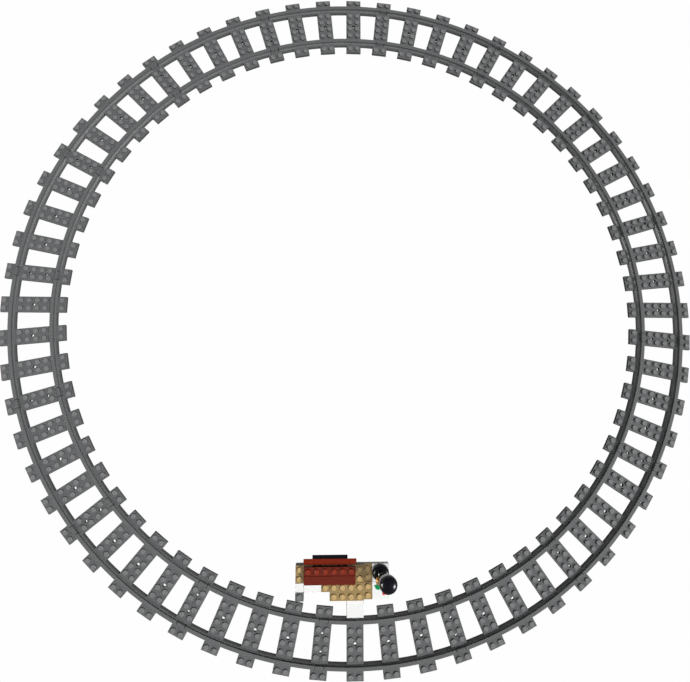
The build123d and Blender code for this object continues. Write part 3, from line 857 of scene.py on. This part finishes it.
def build_bud():
    """Spindle-shaped bud lying north to south, wrapped in five pointed sepals."""
    half = 3.2
    body = [(0, -half), (0.6, -half), (1.25, -2.2), (1.85, -1.1), (2.1, 0.1), (1.9, 1.1), (1.45, 2.1),
            (0.95, half), (0, half)]
    parts = [spun("bud", body, steps=30)]
    sepal = drum("sepal", 0, 0, -0.3, 0.3, 1.0, 16)
    edit(sepal, "VERT")
    bpy.ops.mesh.select_all(action="SELECT")
    bpy.ops.transform.resize(value=(0.62, 2.3, 1), center_override=(0, 0, 0))
    pick(sepal, "verts", lambda middle, normal: abs(middle.y) > 1.9)
    bpy.ops.transform.resize(value=(0.4, 1.12, 1), center_override=(0, 0, 0))
    leave()
    bevelled(sepal, width=0.12)
    for i in range(5):
        around = Matrix.Rotation(math.radians(72 * i), 4, "Z")
        lift = Matrix.Translation((0, 1.72 * mm, -0.1 * mm)) @ Matrix.Rotation(math.radians(90), 4, "X")
        parts.append(copied(sepal, "sepal", around @ lift))
    bpy.data.objects.remove(sepal)
    bud = joined("gold_bud_moulding", parts)
    lying = Matrix.Rotation(math.radians(90), 4, "X")
    moved(bud, Matrix.Translation((bud_spot[0] * mm, bud_spot[1] * mm, (twig_top + 2.05) * mm)) @ lying)
    smoothed(moved(bud, tipped()), 50)
    handed_over(bud, "ornaments", "gold_plastic", materials["gold_plastic"], "gold_bud")


def leaflet():
    """One pointed leaf with a raised midrib, its stalk end at the origin and its tip along +X."""
    piece = drum("leaflet", 0, 0, 0, 0.9, 1.0, 20)
    edit(piece)
    pick(piece, "faces", lambda middle, normal: normal.z > 0.9)
    bpy.ops.mesh.inset(thickness=0.3 * mm)
    bpy.ops.transform.translate(value=(0, 0, 0.25 * mm))
    bpy.ops.mesh.inset(thickness=0.3 * mm)
    bpy.ops.transform.translate(value=(0, 0, -0.15 * mm))
    leave()
    edit(piece, "VERT")
    bpy.ops.mesh.select_all(action="SELECT")
    bpy.ops.transform.resize(value=(1.95, 1.25, 1), center_override=(0, 0, 0))
    pick(piece, "verts", lambda middle, normal: middle.x > 1.5)
    bpy.ops.transform.resize(value=(1.12, 0.5, 1), center_override=(0, 0, 0))
    leave()
    return moved(bevelled(piece, width=0.1), Matrix.Translation((1.2 * mm, 0, 0)))


def build_leaf():
    """Sprig of five leaflets lying on its twig."""
    first = leaflet()
    centre = Matrix.Translation((leaf_spot[0] * mm, leaf_spot[1] * mm, (twig_top + 0.05) * mm))
    parts = []
    for index, angle in enumerate((155, 220, -25, 95, -80)):
        size = 1.12 if index in (0, 2) else 0.82
        turn = Matrix.Rotation(math.radians(angle), 4, "Z") @ Matrix.Diagonal((size, size, 1, 1))
        rise = Matrix.Translation((0, 0, 0.12 * (index % 3) * mm))
        parts.append(copied(first, "leaflet", centre @ rise @ turn))
    bpy.data.objects.remove(first)
    leaf = smoothed(moved(joined("green_leaf_moulding", parts), tipped()), 45)
    handed_over(leaf, "ornaments", "green_plastic", materials["green_plastic"], "green_leaf")


def build_bloom():
    """Flower of five cupped petals round a domed middle."""
    petal = drum("petal", 0, 0, 0, 1.1, 1.5, 18)
    edit(petal)
    pick(petal, "faces", lambda middle, normal: normal.z > 0.9)
    bpy.ops.mesh.inset(thickness=0.45 * mm)
    bpy.ops.transform.translate(value=(0, 0, 0.3 * mm))
    bpy.ops.mesh.inset(thickness=0.4 * mm)
    bpy.ops.transform.translate(value=(0, 0, -0.3 * mm))
    leave()
    bevelled(petal, width=0.14)
    centre = Matrix.Translation((bloom_spot[0] * mm, bloom_spot[1] * mm, (twig_top + 0.05) * mm))
    parts = []
    for i in range(5):
        around = Matrix.Rotation(math.radians(18 + 72 * i), 4, "Z")
        parts.append(copied(petal, "petal", centre @ around @ Matrix.Translation((2.35 * mm, 0, 0))))
    bpy.data.objects.remove(petal)
    middle = [(0, 0), (1.3, 0), (1.3, 1.0), (1.15, 1.35), (0.8, 1.55), (0.4, 1.6), (0, 1.6)]
    parts.append(moved(spun("middle", middle, steps=20), centre))
    bloom = smoothed(moved(joined("red_bloom_moulding", parts), tipped()), 45)
    handed_over(bloom, "ornaments", "red_plastic", materials["red_plastic"], "red_bloom")


build_track()
build_halt_plates()
build_hinge_plate("bench_hinge_plate_west")
build_hinge_plate("bench_hinge_plate_east")
build_back()
build_lamp()
build_clip()
build_bud()
build_leaf()
build_bloom()


# ================================================================ floor and light
def lay_floor():
    """Pale plain floor, bright where it is looked at and quieter where it lights the pieces."""
    bpy.ops.object.select_all(action="DESELECT")
    bpy.ops.mesh.primitive_plane_add(size=8)
    floor = bpy.context.object
    floor.name = "floor"
    finish = Finish("floor_paint")
    grain = finish.noise(40, detail=4)
    tone = finish.blend(grain, (0.34, 0.34, 0.34, 1), (0.38, 0.38, 0.38, 1))
    dull = finish.node("ShaderNodeBsdfDiffuse", Color=tone, Roughness=0.9)
    bright = finish.node("ShaderNodeEmission", Color=(0.99, 0.99, 0.99, 1), Strength=1.0)
    seen = finish.node("ShaderNodeLightPath", out="Is Camera Ray")
    both = finish.node("ShaderNodeMixShader", _0=seen, _1=dull, _2=bright)
    floor.data.materials.append(finish.closed(both))


def sun(name, strength, azimuth, elevation, spread):
    """Soft distant light from an azimuth (0 is from -Y, 90 from +X) that gives no mirror highlight."""
    lamp = bpy.data.objects.new(name, bpy.data.lights.new(name, "SUN"))
    bpy.context.scene.collection.objects.link(lamp)
    lamp.data.energy = strength
    lamp.data.angle = math.radians(spread)
    a, e = math.radians(azimuth), math.radians(elevation)
    towards = Vector((math.sin(a) * math.cos(e), -math.cos(a) * math.cos(e), math.sin(e)))
    lamp.rotation_euler = towards.to_track_quat("Z", "Y").to_euler()
    lamp.visible_glossy = False
    return lamp


def softbox(name, power, azimuth, elevation, distance, width, height, target):
    """Rectangular studio light that shows as a window of light in glossy pieces."""
    lamp = bpy.data.objects.new(name, bpy.data.lights.new(name, "AREA"))
    bpy.context.scene.collection.objects.link(lamp)
    lamp.data.shape = "RECTANGLE"
    lamp.data.size = width
    lamp.data.size_y = height
    lamp.data.energy = power
    a, e = math.radians(azimuth), math.radians(elevation)
    towards = Vector((math.sin(a) * math.cos(e), -math.cos(a) * math.cos(e), math.sin(e)))
    lamp.location = Vector(target) + towards * distance
    lamp.rotation_euler = towards.to_track_quat("Z", "Y").to_euler()
    lamp.data.spread = math.radians(20)
    lamp.visible_diffuse = False
    lamp.visible_camera = False
    return lamp


def set_lights():
    """Soft light from overhead and from the halt's side, and two low softboxes left and right."""
    sun("key", 2.5, 72, 52, 10)
    sun("overhead", 1.1, 0, 84, 30)
    sun("front_fill", 1.0, 0, 15, 40)
    halt = (0, -0.26, 0.02)
    softbox("softbox_west", 1.0, -84, 17, 1.3, 1.1, 0.35, halt)
    softbox("softbox_east", 1.0, 70, 21, 1.3, 1.1, 0.4, halt)
    world = bpy.data.worlds.new("studio")
    world.use_nodes = True
    nodes = world.node_tree.nodes
    ambient = nodes["Background"]
    ambient.inputs["Color"].default_value = (0.75, 0.77, 0.8, 1)
    ambient.inputs["Strength"].default_value = 0.12
    backdrop = nodes.new("ShaderNodeBackground")
    backdrop.inputs["Color"].default_value = (0.93, 0.93, 0.93, 1)
    seen = nodes.new("ShaderNodeLightPath")
    both = nodes.new("ShaderNodeMixShader")
    world.node_tree.links.new(seen.outputs["Is Camera Ray"], both.inputs[0])
    world.node_tree.links.new(ambient.outputs[0], both.inputs[1])
    world.node_tree.links.new(backdrop.outputs[0], both.inputs[2])
    world.node_tree.links.new(both.outputs[0], nodes["World Output"].inputs["Surface"])
    bpy.context.scene.world = world


lay_floor()
set_lights()
